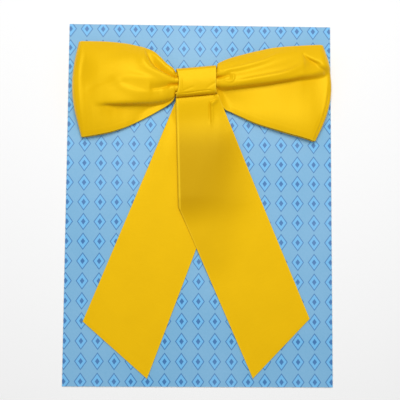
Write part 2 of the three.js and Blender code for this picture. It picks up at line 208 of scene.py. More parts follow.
RIGHT_FOLDS = {
    "main_valley": Fold(2.4, 3, table(
        Crease,
        (0, -2.8, 3.4, 1.3, 1.3, 0),
        (17, -6, 4.6, 2.4, 4, 0.5),
        (21.4, -7.4, 7, 3.2, 9, 0.8),
        (28, -6.9, 7.6, 3.6, 15, 1.8),
        (36, -6.1, 7.8, 3.7, 19, 2),
        (44, -5.1, 7.8, 3.6, 23, 2),
        (61, -2.6, 7.5, 3.2, 30, 2),
        (77, 0.3, 7.2, 3, 33, 1.8),
        (86, 1.4, 7, 3.7, 34, 1.5),
        (94, 2.1, 7, 4.2, 35, 1.2),
        (100.3, 2.8, 7.1, 4.8, 37, 0.9),
        (105.3, 3.9, 7, 5.2, 40, 0.6),
        (113, 5.9, 6.8, 5.8, 43, 0.4),
    )),
    "hook": Fold(1.6, 1.6, table(
        Crease,
        (0, 3.2, 3.4, 1.2, 1.2, 0),
        (17, 3.5, 3.2, 1.2, 1.2, 0.3),
        (22, 4.1, 2.2, 1.5, 1.3, 0.3),
        (27, 5.6, 1.3, 1.9, 1.4, 0),
        (32, 7.2, 0, 2.2, 1.6, 0),
    )),
    "upper_hollow": Fold(2, 2, table(
        Crease,
        (22, 6.8, 0, 2, 2, 0),
        (34, 8, 0.8, 2.4, 2.4, 0),
        (55, 12.4, 0.9, 3.2, 3.2, 0),
        (76, 18.4, 0.6, 4, 4, 0),
        (94, 23, 0, 4, 4, 0),
    )),
    "corner_fold": Fold(2.4, 1.2, table(
        Crease,
        (87, 24, 0, 1.6, 9, 0),
        (91, 20.8, 2, 1.7, 10, 0.6),
        (96, 18.2, 3, 1.8, 10, 0.9),
        (102, 15.2, 2.8, 1.9, 9, 0.8),
        (107, 12.8, 1.8, 2, 8, 0.4),
        (113, 10.6, 1, 2.2, 7, 0),
    )),
}

RIGHT_STROKES = {
    "upper_ridge": [
        (16, 8.4, 0, 1.4, 2), (24, 9.2, 0.55, 1.4, 2), (40, 12.8, 0.7, 1.4, 2),
        (55, 17.2, 0.7, 1.5, 2.2), (64, 21.4, 0.5, 1.6, 2.4), (74, 26.6, 0, 1.8, 2.6),
    ],
    "lip_ridge": [
        (30, 1, 0, 1.4, 2), (38, 2, 0.7, 1.3, 2.4), (47, 3.5, 1.2, 1.3, 2.6),
        (58, 5.4, 1.3, 1.3, 2.6), (69, 7.4, 1.3, 1.3, 2.6), (77, 9.6, 1.2, 1.4, 2.8),
        (85.5, 13.6, 0.8, 1.8, 2.8), (90, 17.6, 0.4, 2, 3), (93, 22, 0, 2, 3),
    ],
    "hook_ring": [
        (26.2, 6.8, 0, 0.9, 0.9), (28.8, 6.9, 0.35, 0.8, 0.8), (30.9, 4.9, 0.6, 0.8, 0.8),
        (30.2, 2.2, 0.6, 0.8, 0.8), (27, 0.9, 0.35, 0.8, 0.8), (23, 1.2, 0, 0.9, 0.9),
    ],
    "hook_inner": [
        (21, 2.4, 0, 0.6, 0.6), (25.4, 2.6, -0.4, 0.7, 0.7), (27.8, 3.8, -0.5, 0.7, 0.7),
        (27.6, 5.6, -0.3, 0.7, 0.7),
    ],
}

RIGHT_LOOP = {
    "node": "loop_right", "side": 1, "band": 81,
    "end": {"low": 99.4, "high": 106.2, "bulge": 9.7, "roundness": 1.2},
    "sections": RIGHT_SECTIONS, "folds": RIGHT_FOLDS, "strokes": RIGHT_STROKES,
    "dents": [],
    "strip": {"angle": 0.36, "depth": 0.7, "width": 1.1, "rise": (-0.1, 0.1), "fall": (0.42, 0.62)},
    "back_pleats": table(
        Pleat,
        (0.14, 0.03, 1.6, 32, 62), (0.3, 0.04, 2.2, 32, 70), (0.46, 0.035, 2.2, 28, 74),
        (0.62, 0.04, 2.4, 26, 74), (0.77, 0.035, 2.2, 26, 66), (0.9, 0.03, 1.8, 26, 60),
    ),
}

# The shape of a fold: where its lip stands from its floor, in widths of the flank, how wide the lip is
# under and over its edge, how wide the floor is and how much of the lean it takes, and the share of the
# band by its edges that no fold moves sideways.
LIP = {"place": 1.4, "under": 0.8, "over": 2.6, "floor_width": 0.7, "floor_share": 0.3, "held_edge": 0.05}
STROKE_STEPS = 36

# How full a loop's front is below and above its middle, the slow waves that its satin keeps and where they
# begin, and how softly the front bends where it comes down to the back layer.
CROWN_POWER = {"low": 2.2, "high": 3.4}
RIPPLE = 0.16
RIPPLES = table(Wave, (0.5, 9.1, 6.3, 0), (0.35, 5.7, -11, 1.3), (0.3, 15, 4.9, 0.4))
RIPPLE_START = (22, 45)
BEND_SPREAD = 0.8
PLEAT_RISE = 10

# The tails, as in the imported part: the ends of a tail's edges and of the line that its inner margin is
# turned under on. Below that line's end, a tail opens to its full width.
TAIL_TOP = 95
TAIL_OPENS = 8
TAIL_EDGE = 2
LEFT_TAIL = {
    "node": "tail_left", "side": -1,
    "top": (-19.9, 84.9), "corner": (-94.1, -97.7),
    "tip": (-41.2, -143.5), "inner": (-1.9, -37.8),
    "fold_top": (12, 87), "fold_end": (11.6, 1),
}
RIGHT_TAIL = {
    "node": "tail_right", "side": 1,
    "top": (14.3, 91.8), "corner": (91.2, -94.6),
    "tip": (44.6, -143), "inner": (-1.9, -37.9),
    "fold_top": (-19, 87), "fold_end": (-16.2, 1),
}
TAIL_TURN = LAYER / 2
TAIL_LAYERS = 3
# The stretch of y towards the knot over which the painted shade of backed layers gives out.
CONTACT = (42, 80)
FLAP_MARGIN = 1.6

# How a tail comes down where what lies under it ends. The falls and slopes are widths across it, and the
# ends are the stretches of y over which the turned margins and the crossing of the tails give out.
DRAPE = {
    "left_flap_fall": (-9, -1), "shelf": 1.5, "flap_shelf": 5, "flap_slope": 34, "tail_slope": 42,
    "left_flap_end": (-14, 0), "right_flap_end": (-22, 6), "crossing_end": (-75, -45),
}

# The right tail rolls forward just below the knot, less so at its outer margin, hangs in small pleats from
# there, arches a little and settles on the card.
ROLL = {
    "below_knot": 12.6, "height": 3.3, "above": 1.3, "below": 12, "margin": (10, 15), "margin_fall": 0.4,
}
HANG = {"arch": 0.3, "flatter": 0.7, "top": 80, "end": 14}
SETTLE = {"height": 0.8, "down": (-14, 66), "across": (2, 16)}
TAIL_STROKES = {
    "pleat_line": [
        (8, 83.4, 0, 0.7, 0.7), (8, 80, -1, 0.7, 0.7), (8.2, 73, -0.8, 0.8, 0.8),
        (8.4, 64, 0, 1, 1),
    ],
    "pleat_ridge": [
        (9.8, 84, 0, 0.8, 0.8), (9.8, 80, 0.8, 0.8, 0.8), (10.2, 72, 0.6, 0.9, 0.9),
        (10, 62, 0, 1.2, 1.2),
    ],
    "corner_fold": [
        (15.5, 86, 0, 1.2, 0.9), (13, 84.4, 0.8, 1.6, 0.9), (10.4, 82.2, 0.9, 1.6, 0.9),
        (8.6, 80, 0, 1.4, 0.9),
    ],
    "margin_fall": [
        (15.6, 88, 0, 2, 4), (17.4, 84, -1, 2, 4), (19.8, 78, -1.2, 2, 5),
        (23, 70, -0.8, 2, 6), (27, 60, 0, 2, 6),
    ],
}
LEFT_SWELL = {"height": 1.3, "wide": 10, "top": 50, "end": -8}

# The knot's front: its hem and two creases, the last one running out over the band's right end, its rolled
# left margin and the fine ribs of its satin.
KNOT_GROOVES = table(
    Groove,
    (-13, -9.2, 12, -9.2, 0.25, 0.5, 0.5, (-15, -8), (11, 14)),
    (-13, -8.5, -1, -5, 0, 0.2, 1, (-14, -11), (-4, 0)),
    (8, -7.5, 16, -3.5, 0, 0.25, 1.3, (7, 11), (17, 20)),
)
GROOVE_WAVE = 4
KNOT_MARGIN = {"inset": 2.4, "depth": 0.35, "width": 0.7, "end": (-2, 6)}
KNOT_RIB = {"height": 0.1, "length": 2.1, "sway": 0.5, "sway_length": 3, "reach": 9}

# The pin behind the knot, and the clasp that its arms end in.
PIN = {"length": 30, "width": 7, "wire": 1.1, "arm_end": 2, "play": 0.05, "y": 102.4}
CLASP = {"length": 6, "depth": 0.6, "least": 0.4, "tip": 0.01, "nose": 0.5, "squareness": 0.6}

# How finely each surface is divided, the powers that bring a loop's steps closer together towards the
# knot, and where the points of a rounded rim stand, as shares of the cloth's wall.
LOOP_STEPS = {
    "neck": 14, "front": 140, "turn": 26, "back": 46, "hidden": 6, "across": 164, "section": 480, "ease": 2,
}
LOOP_SPACING = {"front": 1.3, "back": 0.8}
TAIL_STEPS = {"hidden": 8, "roll": 44, "folded": 72, "open": 56, "main": 68, "turn": 10, "flap": 18}
ROLL_ROWS = (89, 80)
KNOT_STEPS = {"around": 200, "across": 56, "corner": 40}
PIN_STEPS = {"arm": 16, "bend": 17, "sides": 12, "around": 28, "along": 12}
CARD_CORNER_STEPS = 6
RIM_STEPS = np.array([0, 0.12, 0.3, 0.55])

# The photo's camera and the studio's lights, in metres and watts.
CAMERA = {
    "place": (-0.0114, -0.0482, 0.618),
    "look": (0.0196, 0.0815, -0.9965),
    "up": (-0.0084, 0.9966, 0.0814),
    "lens": 67.4, "sensor": 36,
}
Light = namedtuple("Light", "name place size power")
LIGHTS = table(Light, ("key", (0, 0.45, 0.97), 0.5, 6.35), ("top", (0, 0.05, 1.1), 0.9, 3.4))
LIGHT_AIM = (0, 0.03, 0)
WORLD_LIGHT = 0.36
FLOOR = {"half": 3.0, "below": 0.0002}


# Mathematics.

def lerp(a, b, f):
    return a + (b - a) * f


def smooth(low, high, x):
    f = np.clip((x - low) / (high - low), 0, 1)
    return f * f * (3 - 2 * f)


def bell(x, width):
    return np.exp(-((x / width) ** 2))


def soft_max(a, b, width):
    """The larger of two heights, with the corner between them rounded over a width."""
    h = np.clip(0.5 + (a - b) / (2 * width), 0, 1)
    return lerp(b, a, h) + width * h * (1 - h)


def table_value(rows, column, out):
    """A smooth value between the rows of a table, with no overshoot past a row."""
    at = np.array([row.out for row in rows], float)
    value = np.array([getattr(row, column) for row in rows], float)
    slope = np.diff(value) / np.diff(at)
    before, after = slope[:-1], slope[1:]
    same_way = before * after > 0
    tangent = np.zeros(len(value))
    tangent[1:-1][same_way] = (2 * before * after)[same_way] / (before + after)[same_way]
    x = np.clip(out, at[0], at[-1])
    i = np.clip(np.searchsorted(at, x, side="right") - 1, 0, len(at) - 2)
    span = at[i + 1] - at[i]
    f = (x - at[i]) / span
    start = (1 + 2 * f) * (1 - f) ** 2 * value[i] + f * (1 - f) ** 2 * span * tangent[i]
    end = f * f * (3 - 2 * f) * value[i + 1] + f * f * (f - 1) * span * tangent[i + 1]
    return start + end


def rim_spaced(count, span):
    """Shares of a span from 0 to 1, evenly set, with more close to both ends for the rounded rims."""
    rim = RIM_STEPS * WALL / span
    return np.concatenate([rim[:-1], np.linspace(rim[-1], 1 - rim[-1], count + 1), 1 - rim[-2::-1]])


def resampled(row, shares):
    """A row of places set out again at shares of its own length, and that length."""
    length = np.concatenate([[0], np.cumsum(np.linalg.norm(np.diff(row, axis=0), axis=1))])
    return np.stack([np.interp(shares * length[-1], length, column) for column in row.T], 1), length[-1]


# Meshes.

def rounded_oblong(half_a, half_b, corner, steps):
    """Places round an oblong with rounded corners, as (a, b) from its centre."""
    quarters = []
    for turn, (a, b) in enumerate([(1, 1), (-1, 1), (-1, -1), (1, -1)]):
        angle = np.linspace(0, np.pi / 2, steps) + turn * np.pi / 2
        quarters.append(np.stack([
            a * (half_a - corner) + corner * np.cos(angle),
            b * (half_b - corner) + corner * np.sin(angle),
        ], 1))
    return np.concatenate(quarters)


def ring_faces(rings, sides, first=0, turned=False):
    """Faces over both ends of a row of rings and between them. first is the number of the first place."""
    last = (rings - 1) * sides
    faces = [list(range(sides))[::-1], list(range(last, last + sides))]
    for a in range(0, last, sides):
        for k in range(sides):
            n = (k + 1) % sides
            faces.append([a + k, a + n, a + sides + n, a + sides + k])
    faces = [[first + k for k in face] for face in faces]
    return [face[:1] + face[:0:-1] for face in faces] if turned else faces


def new_object(name, data):
    made = bpy.data.objects.new(name, data)
    bpy.context.scene.collection.objects.link(made)
    return made


def mesh_object(name, places, faces, material):
    mesh = bpy.data.meshes.new(name)
    mesh.from_pydata(places.tolist(), [], faces)
    mesh.shade_smooth()
    mesh.materials.append(material)
    mesh.update()
    return new_object(name, mesh)


def finish_piece(piece, node):
    """Every piece rides on the one body and stands for its node, whose imported part it hides."""
    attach(piece, "root")
    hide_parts(node)


# Cloth.

def lengths_along(points, axis):
    """Distance along the grid from its first row or column, for each point."""
    steps = np.linalg.norm(np.diff(points, axis=axis), axis=2)
    start = np.zeros_like(np.take(steps, [0], axis=axis))
    return np.concatenate([start, np.cumsum(steps, axis=axis)], axis=axis)


def normals_of(points, ring):
    along = np.gradient(points, axis=0)
    if ring:
        along = (np.roll(points, -1, 0) - np.roll(points, 1, 0)) / 2
    normal = np.cross(along, np.gradient(points, axis=1))
    return normal / np.maximum(np.linalg.norm(normal, axis=2, keepdims=True), 1e-9)


def roundness_at(distance, radius):
    """0 at an edge and 1 past the radius, as a half-round rim has it."""
    return np.sqrt(np.clip(1 - (1 - np.clip(distance / radius, 0, 1)) ** 2, 0, 1))


def cloth_piece(node, points, flat, material, ring=False, to_crease=np.inf, backed=0):
    """A closed thin piece round a grid of points in the middle of the cloth, with half-round rims and a
    turned-in hem. flat holds each point's place in the flat cloth, to_crease its distance from a pressed
    fold and backed how closely other layers lie behind it; the satin paints a highlight near rims and
    pressed folds and a shade where layers lie behind."""
    rows, columns, _ = points.shape
    across = lengths_along(points, 1)
    to_edge = np.minimum(across, across[:, -1:] - across)
    if not ring:
        along = lengths_along(points, 0)
        to_edge = np.minimum(to_edge, np.minimum(along, along[-1:] - along))
    half = WALL / 2 * roundness_at(to_edge, WALL / 2)
    half = half + HEM["rise"] / 2 * smooth(*HEM["start"], to_edge) * (1 - smooth(*HEM["end"], to_edge))
    normal = normals_of(points, ring)
    upper = points + normal * half[:, :, None]
    lower = points - normal * half[:, :, None]

    number = np.arange(rows * columns).reshape(rows, columns)
    inner = np.ones((rows, columns), bool)
    inner[:, [0, -1]] = False
    if not ring:
        inner[[0, -1]] = False
    under = number.copy()
    under[inner] = rows * columns + np.arange(inner.sum())
    places = np.concatenate([upper.reshape(-1, 3), lower[inner]])
    flat_places = np.concatenate([flat.reshape(-1, 2), flat[inner]])
    # The distance to the nearest rim or pressed fold, near which the satin paints a highlight.
    rim_highlight = np.minimum(to_edge, to_crease)
    backed = np.broadcast_to(backed, rim_highlight.shape)

    i = np.arange(rows if ring else rows - 1)[:, None]
    j = np.arange(columns - 1)[None, :]
    after = (i + 1) % rows
    faces = []
    for layer, order in ((number, 1), (under, -1)):
        corners = np.stack([layer[i, j], layer[after, j], layer[after, j + 1], layer[i, j + 1]], 2)
        faces.append(corners.reshape(-1, 4)[:, ::order])
    piece = mesh_object("bow_" + node, places * MM, np.concatenate(faces).tolist(), material)
    finish_piece(piece, node)
    mesh = piece.data
    corners = np.empty(len(mesh.loops), np.int32)
    mesh.loops.foreach_get("vertex_index", corners)
    layer = mesh.uv_layers.new(name="cloth")
    layer.uv.foreach_set("vector", (flat_places * MM)[corners].astype(np.float32).ravel())
    # rim_distance sets the satin's painted highlight, and backed its painted shade.
    for label, value in (("rim_distance", rim_highlight * MM), ("backed", backed)):
        values = np.concatenate([value.ravel(), value[inner]]).astype(np.float32)
        mesh.attributes.new(label, "FLOAT", "POINT").data.foreach_set("value", values)
    return piece


# The loops.

def fold_parts(fold, out, up):
    """How deep one fold is at a point of the loop's plan, and how far it moves that point sideways."""
    line, depth, above, below, lean = (table_value(fold.rows, column, out) for column in Crease._fields[1:])
    on_upper = up > line
    at = (up - line) / np.where(on_upper, above, below)
    from_lip = at * np.where(lean < 0, -1, 1) - LIP["place"]
    lip = bell(from_lip, np.where(from_lip < 0, LIP["under"], LIP["over"]))
    floor = bell(at, LIP["floor_width"])
    shape = np.exp(-(np.abs(at) ** np.where(on_upper, fold.above_power, fold.below_power)))
    return depth * shape, lean * (LIP["floor_share"] * floor - lip)


def curve_through(rows, count):
    """Places along a smooth curve through the rows of a table, with all their values."""
    values = np.array(rows, float)
    at = np.linspace(0, len(values) - 1, count)
    i = np.clip(at.astype(int), 0, len(values) - 2)
    f = (at - i)[:, None]
    padded = np.concatenate([[2 * values[0] - values[1]], values, [2 * values[-1] - values[-2]]])
    a, b, c, d = (padded[i + k] for k in range(4))
    return b + 0.5 * f * (c - a + f * (2 * a - 5 * b + 4 * c - d + f * (3 * (b - c) + d - a)))


def stroke_height(stroke, out, up):
    """How far a stroke lifts each point, by the distance to the stroke's nearest place."""
    rows = curve_through(stroke, STROKE_STEPS)
    nearest = np.full(np.shape(out), np.inf)
    height = np.zeros(np.shape(out))
    for a, b in zip(rows[:-1], rows[1:]):
        step = b[:2] - a[:2]
        off_out, off_up = out - a[0], up - a[1]
        f = np.clip((off_out * step[0] + off_up * step[1]) / (step @ step), 0, 1)
        distance = np.hypot(off_out - f * step[0], off_up - f * step[1])
        on_left = step[0] * off_up > step[1] * off_out
        rise, left, right = (lerp(a[k], b[k], f) for k in (2, 3, 4))
        closer = distance < nearest
        height = np.where(closer, rise * bell(distance, np.where(on_left, left, right)), height)
        nearest = np.where(closer, distance, nearest)
    return height


def dent_depth(dent, out, up):
    turn, x, y = np.radians(dent.turn), out - dent.out, up - dent.up
    a, b = x * np.cos(turn) + y * np.sin(turn), y * np.cos(turn) - x * np.sin(turn)
    return dent.depth * bell(np.hypot(a / dent.long, b / dent.wide), 1)


def ripples(out, up):
    """The slow waves that a soft satin face keeps."""
    waves = sum(wave.share * np.sin(out / wave.out + up / wave.up + wave.start) for wave in RIPPLES)
    return RIPPLE * waves * smooth(*RIPPLE_START, out)


def back_height(loop, out, across):
    height = table_value(loop["sections"], "back", out)
    for pleat in loop["back_pleats"]:
        full = pleat.start + PLEAT_RISE
        strength = smooth(pleat.start, full, out) * (1 - smooth(full, pleat.end, out))
        height = height + pleat.height * strength * bell(across - pleat.at, pleat.wide)
    return height


def front_shape(loop, out, across):
    """Where a loop's front layer runs, up and in height: a crown less its folds, clear of the back."""
    rows = loop["sections"]
    low_lift, high_lift = table_value(rows, "low_lift", out), table_value(rows, "high_lift", out)
    up = lerp(table_value(rows, "low", out), table_value(rows, "high", out), across)
    crown = table_value(rows, "crown", out) - (low_lift + high_lift) / 2
    power = np.where(across < 0.5, CROWN_POWER["low"], CROWN_POWER["high"])
    height = lerp(low_lift, high_lift, across) + crown * (1 - np.abs(2 * across - 1) ** power)
    moved = up
    inside = smooth(0, LIP["held_edge"], across) * smooth(0, LIP["held_edge"], 1 - across)
    for fold in loop["folds"].values():
        depth, shift = fold_parts(fold, out, up)
        height = height - depth
        moved = moved + shift * inside
    for stroke in loop["strokes"].values():
        height = height + stroke_height(stroke, out, up)
    for dent in loop["dents"]:
        height = height - dent_depth(dent, out, up)
    height = height + ripples(out, up) * np.sin(np.pi * across) ** 0.5
    return moved, soft_max(height, back_height(loop, out, across) + LAYER + GAP, BEND_SPREAD)


def evened(rows, fractions):
    """Each row of points, set out again at shares of its own length, with its sharpest bends eased."""
    points = np.array([resampled(row, fractions)[0] for row in rows])
    for _ in range(LOOP_STEPS["ease"]):
        points[:, 1:-1] = (points[:, :-2] + 2 * points[:, 1:-1] + points[:, 2:]) / 4
    return points


def loop_points(loop):
    """The middle of the cloth: out from the knot along the front, round the outer fold and back behind."""
    steps, spacing = LOOP_STEPS, LOOP_SPACING
    rows = loop["sections"]
    end_of, strip = loop["end"], loop["strip"]
    across = np.linspace(0, 1, steps["section"])
    neck_end = rows[1].out
    end = lerp(end_of["low"], end_of["high"], across)
    end = end + end_of["bulge"] * (4 * across * (1 - across)) ** end_of["roundness"]
    fold_up, fold_top = front_shape(loop, end, across)
    fold_low = back_height(loop, end, across)
    back_up = lerp(table_value(rows, "back_low", end), table_value(rows, "high", end), across)
    radius = (fold_top - fold_low) / 2
    reach = end - radius

    # The front layer, from under the knot to where it starts to turn.
    neck = lerp(GAP / 2, neck_end, np.linspace(0, 1, steps["neck"], endpoint=False))[:, None]
    neck = np.broadcast_to(neck, (steps["neck"], steps["section"]))
    front = lerp(neck_end, reach[None, :], np.linspace(0, 1, steps["front"])[:, None] ** spacing["front"])
    out = np.concatenate([neck, front])
    up, height = front_shape(loop, out, across[None, :])
    turning = smooth(reach - radius, reach, out)
    parts = [(out, lerp(up, fold_up, turning), lerp(height, fold_top, turning))]

    # The outer fold, with the sunk line that a pressed strip leaves beside it.
    angle = np.linspace(0, np.pi, steps["turn"] + 1)[1:, None]
    sunk = strip["depth"] * bell((angle - strip["angle"]) * radius, strip["width"])
    sunk = sunk * smooth(*strip["rise"], across) * (1 - smooth(*strip["fall"], across))
    turn_radius = radius - sunk
    parts.append((
        reach + turn_radius * np.sin(angle),
        lerp(fold_up, back_up, angle / np.pi),
        fold_low + radius + turn_radius * np.cos(angle),
    ))

    # The back layer, back behind the front one and into the knot.
    back = np.linspace(0, 1, steps["back"])[1:, None] ** spacing["back"]
    back = lerp(reach[None, :], neck_end, back)
    hidden = lerp(neck_end, GAP / 2, np.linspace(0, 1, steps["hidden"])[1:])[:, None]
    out = np.concatenate([back, np.broadcast_to(hidden, (steps["hidden"] - 1, steps["section"]))])
    up = lerp(table_value(rows, "back_low", out), table_value(rows, "high", out), across[None, :])
    parts.append((out, up, back_height(loop, out, across[None, :])))

    out, up, height = (np.concatenate([part[k] for part in parts]) for k in range(3))
    dense = np.stack([KNOT["x"] + loop["side"] * out, KNOT["y"] + up, height], 2)
    fractions = rim_spaced(steps["across"], loop["band"])
    points = evened(dense, fractions)
    along = lengths_along(points, 0)[:, len(fractions) // 2]
    flat = np.stack(np.broadcast_arrays(fractions[None, :] * loop["band"], along[:, None]), 2)
    return points, flat, along[-1]


def make_loop(loop, material):
    points, flat, length = loop_points(loop)
    piece = cloth_piece(loop["node"], points, flat, material)


# The tails.

def tail_lines(tail, y):
    """The x of a tail's outer edge, of its inner edge and of its fold line, at a height y."""
    lines = []
    for start, end in (("top", "corner"), ("inner", "tip"), ("fold_top", "fold_end")):
        (top_x, top), (low_x, low) = tail[start], tail[end]
        lines.append(lerp(top_x, low_x, (y - top) / (low - top)))
    return lines


def flap_edge(tail, y):
    """Where the turned-under flap of a tail ends, mirrored from the inner edge about the fold line."""
    outer, inner, fold = tail_lines(tail, y)
    if tail["side"] > 0:
        return np.minimum(2 * fold - inner, outer - FLAP_MARGIN)
    return np.maximum(2 * fold - inner, outer + FLAP_MARGIN)


def left_tail_layers(x, y):
    """How many layers lie under the lower tail: its own flap, or none."""
    flap = flap_edge(LEFT_TAIL, y)
    return smooth(*DRAPE["left_flap_fall"], x - flap) * smooth(*DRAPE["left_flap_end"], y)


def left_tail_height(x, y):
    """The lower tail lies on the card, and its upper layer is lifted by its own flap."""
    swell = smooth(LEFT_SWELL["end"], LEFT_SWELL["top"], y)
    middle = lerp(tail_lines(LEFT_TAIL, y)[0], RIGHT_TAIL["fold_end"][0], 0.5)
    swell = LEFT_SWELL["height"] * swell * bell(x - middle, LEFT_SWELL["wide"])
    return FIRST_LAYER + LAYER * left_tail_layers(x, y) + swell


def right_tail_layers(x, y):
    """How many layers lie under the upper tail: its own flap, and the lower tail and its flap."""
    own = flap_edge(RIGHT_TAIL, y) + DRAPE["flap_shelf"]
    under = np.minimum(LEFT_TAIL["fold_top"][0], tail_lines(LEFT_TAIL, y)[1]) + DRAPE["shelf"]
    folded, crossing = smooth(*DRAPE["right_flap_end"], y), smooth(*DRAPE["crossing_end"], y)
    layers = folded * (1 - smooth(own, own + DRAPE["flap_slope"], x))
    return layers + (folded + crossing) * (1 - smooth(under, under + DRAPE["tail_slope"], x))


def right_tail_height(x, y):
    """The upper tail lies on the layers under it, rolls forward below the knot and hangs in pleats."""
    height = FIRST_LAYER + LAYER * right_tail_layers(x, y)

    from_roll = y - (KNOT["y"] - ROLL["below_knot"] + KNOT["tilt"] * (x - KNOT["x"]))
    behind, before = np.maximum(from_roll, 0), np.maximum(-from_roll, 0)
    roll = ROLL["height"] * np.exp(-((behind / ROLL["above"]) ** 3) - (before / ROLL["below"]) ** 2)
    roll = roll * (1 - ROLL["margin_fall"] * smooth(*ROLL["margin"], x))
    down = np.clip((HANG["top"] - y) / (HANG["top"] - HANG["end"]), 0, 1)
    outer, inner, fold = tail_lines(RIGHT_TAIL, y)
    share = np.clip((x - outer) / (np.maximum(inner, fold) - outer), 0, 1)
    arch = HANG["arch"] * np.sin(np.pi * down) ** 2 * (1 - HANG["flatter"] * (2 * share - 1) ** 2)
    settle = SETTLE["height"] * smooth(*SETTLE["down"], y) * smooth(*SETTLE["across"], x)
    pleats = sum(stroke_height(stroke, x, y) for stroke in TAIL_STROKES.values())
    return height + roll + arch + settle + pleats


def tail_row(tail, height_at, outer, inner, fold):
    """One row of a tail, from its outer edge to the fold line, round the turn and back under."""
    steps = TAIL_STEPS
    rim = RIM_STEPS * WALL
    span = np.subtract(inner, outer)
    whole = np.hypot(*span)
    to_fold = min(abs(fold - outer[0]), whole)
    turn_length = np.pi * TAIL_TURN
    total = min(whole, 2 * to_fold + turn_length - FLAP_MARGIN)
    main_end = min(to_fold, total - 2 * TAIL_EDGE)
    turn_end = min(main_end + turn_length, total - TAIL_EDGE)
    at = np.concatenate([
        rim[:-1],
        np.linspace(rim[-1], main_end, steps["main"] + 1),
        np.linspace(main_end, turn_end, steps["turn"] + 1)[1:],
        np.linspace(turn_end, total - rim[-1], steps["flap"] + 1)[1:],
        total - rim[-2::-1],
    ])
    angle = np.clip((at - to_fold) / TAIL_TURN, 0, np.pi)
    past = np.maximum(0, at - to_fold - turn_length)
    along = np.minimum(at, to_fold) + TAIL_TURN * np.sin(angle) - past
    x, y = outer[0] + span[0] * along / whole, outer[1] + span[1] * along / whole
    z = height_at(x, y) - TAIL_TURN * (1 - np.cos(angle))
    return np.stack([x, y, z], 1), at, np.abs(at - to_fold)


def tail_points(tail, height_at):
    """The whole tail, row by row from behind the knot to the slanted cut."""
    steps = TAIL_STEPS
    rows = []
    open_y = tail["fold_end"][1] - TAIL_OPENS
    spans = [(TAIL_TOP, ROLL_ROWS[0], "hidden"), (*ROLL_ROWS, "roll"), (ROLL_ROWS[1], open_y, "folded")]
    levels = [np.linspace(top, low, steps[stretch], endpoint=False) for top, low, stretch in spans]
    for y in np.concatenate([*levels, [open_y]]):
        outer, inner, fold = tail_lines(tail, y)
        rows.append(((outer, y), (inner, y), fold))
    rim = RIM_STEPS * WALL / (open_y - tail["corner"][1])
    for f in np.concatenate([np.linspace(0, 1 - rim[-1], steps["open"] + 1)[1:], 1 - rim[-2::-1]]):
        outer_y, inner_y = lerp(open_y, tail["corner"][1], f), lerp(open_y, tail["tip"][1], f)
        outer, inner = tail_lines(tail, outer_y)[0], tail_lines(tail, inner_y)[1]
        rows.append(((outer, outer_y), (inner, inner_y), -tail["side"] * np.inf))
    made = [tail_row(tail, height_at, *row) for row in rows]
    points, widths, to_fold = (np.array([row[k] for row in made]) for k in range(3))
    down = TAIL_TOP - np.array([lerp(outer[1], inner[1], 0.5) for outer, inner, _ in rows])
    flat = np.stack(np.broadcast_arrays(widths, down[:, None]), 2)
    return points, flat, to_fold


def make_tail(tail, height_at, layers_at, material):
    points, flat, to_fold = tail_points(tail, height_at)
    x, y = points[:, :, 0], points[:, :, 1]
    # How closely layers lie behind, which the satin paints as shade, given up towards the knot.
    backed = layers_at(x, y) / TAIL_LAYERS * (1 - smooth(*CONTACT, y))
    piece = cloth_piece(tail["node"], points, flat, material, to_crease=to_fold, backed=backed)


# The knot.

def knot_section(count):
    """Places round the knot's section, evenly spaced, as (up, depth) from its centre, and its length."""
    half_depth = (KNOT["front"] - KNOT_BACK) / 2
    outline = rounded_oblong(KNOT["half_height"], half_depth, KNOT["corner"], KNOT_STEPS["corner"])
    outline = np.concatenate([outline, outline[:1]])
    return resampled(outline, np.linspace(0, 1, count, endpoint=False))


def knot_relief(x, up):
    """The knot's front falls away below its middle, with a rolled hem, a rolled left margin and creases."""
    half_height = KNOT["half_height"]
    relief = KNOT["crown"] * (1 - ((up - KNOT["crown_up"]) / half_height) ** 2)
    below = np.clip((KNOT["fall_up"] - up) / (half_height + KNOT["fall_up"]), 0, 1)
    relief = relief - KNOT["fall"] * below ** 2
    for groove in KNOT_GROOVES:
        line = lerp(groove.up, groove.to_up, (x - groove.x) / (groove.to_x - groove.x))
        line = line + groove.wave * np.sin(x / GROOVE_WAVE)
        shown = smooth(*groove.fade_in, x) * (1 - smooth(*groove.fade_out, x))
        relief = relief - groove.depth * bell(up - line, groove.width) * shown
    margin, rib = KNOT_MARGIN, KNOT_RIB
    from_margin = x + KNOT["half_width"] - KNOT["waist"] - margin["inset"]
    rolled = bell(from_margin, margin["width"]) * (1 - smooth(*margin["end"], up))
    relief = relief - margin["depth"] * rolled
    ribs = np.sin(x / rib["length"] + rib["sway"] * np.sin(up / rib["sway_length"]))
    return relief + rib["height"] * ribs * bell(up, rib["reach"])


def make_knot(material):
    """The knot band: a rounded section carried across, waisted on its left and tilted on the card."""
    section, around = knot_section(KNOT_STEPS["around"])
    centre = (KNOT["front"] + KNOT_BACK) / 2
    up, depth = section[:, :1], section[:, 1:]
    inward = 1 - (up / KNOT["half_height"]) ** 2
    facing = smooth(*KNOT["waist_blend"], depth)
    width = 2 * KNOT["half_width"]
    across = rim_spaced(KNOT_STEPS["across"], width)[None, :]
    left = -KNOT["half_width"] + facing * KNOT["waist"] * inward
    x = lerp(left, KNOT["half_width"], across)
    lift = facing * knot_relief(x, up)
    y = up + KNOT["tilt"] * x
    points = np.stack([KNOT["x"] + x, KNOT["y"] + y, centre + depth + lift], 2)
    down = np.linspace(0, around, len(section), endpoint=False)
    flat = np.stack(np.broadcast_arrays(across * width, down[:, None]), 2)
    piece = cloth_piece("knot", points, flat, material, ring=True)


# Materials.

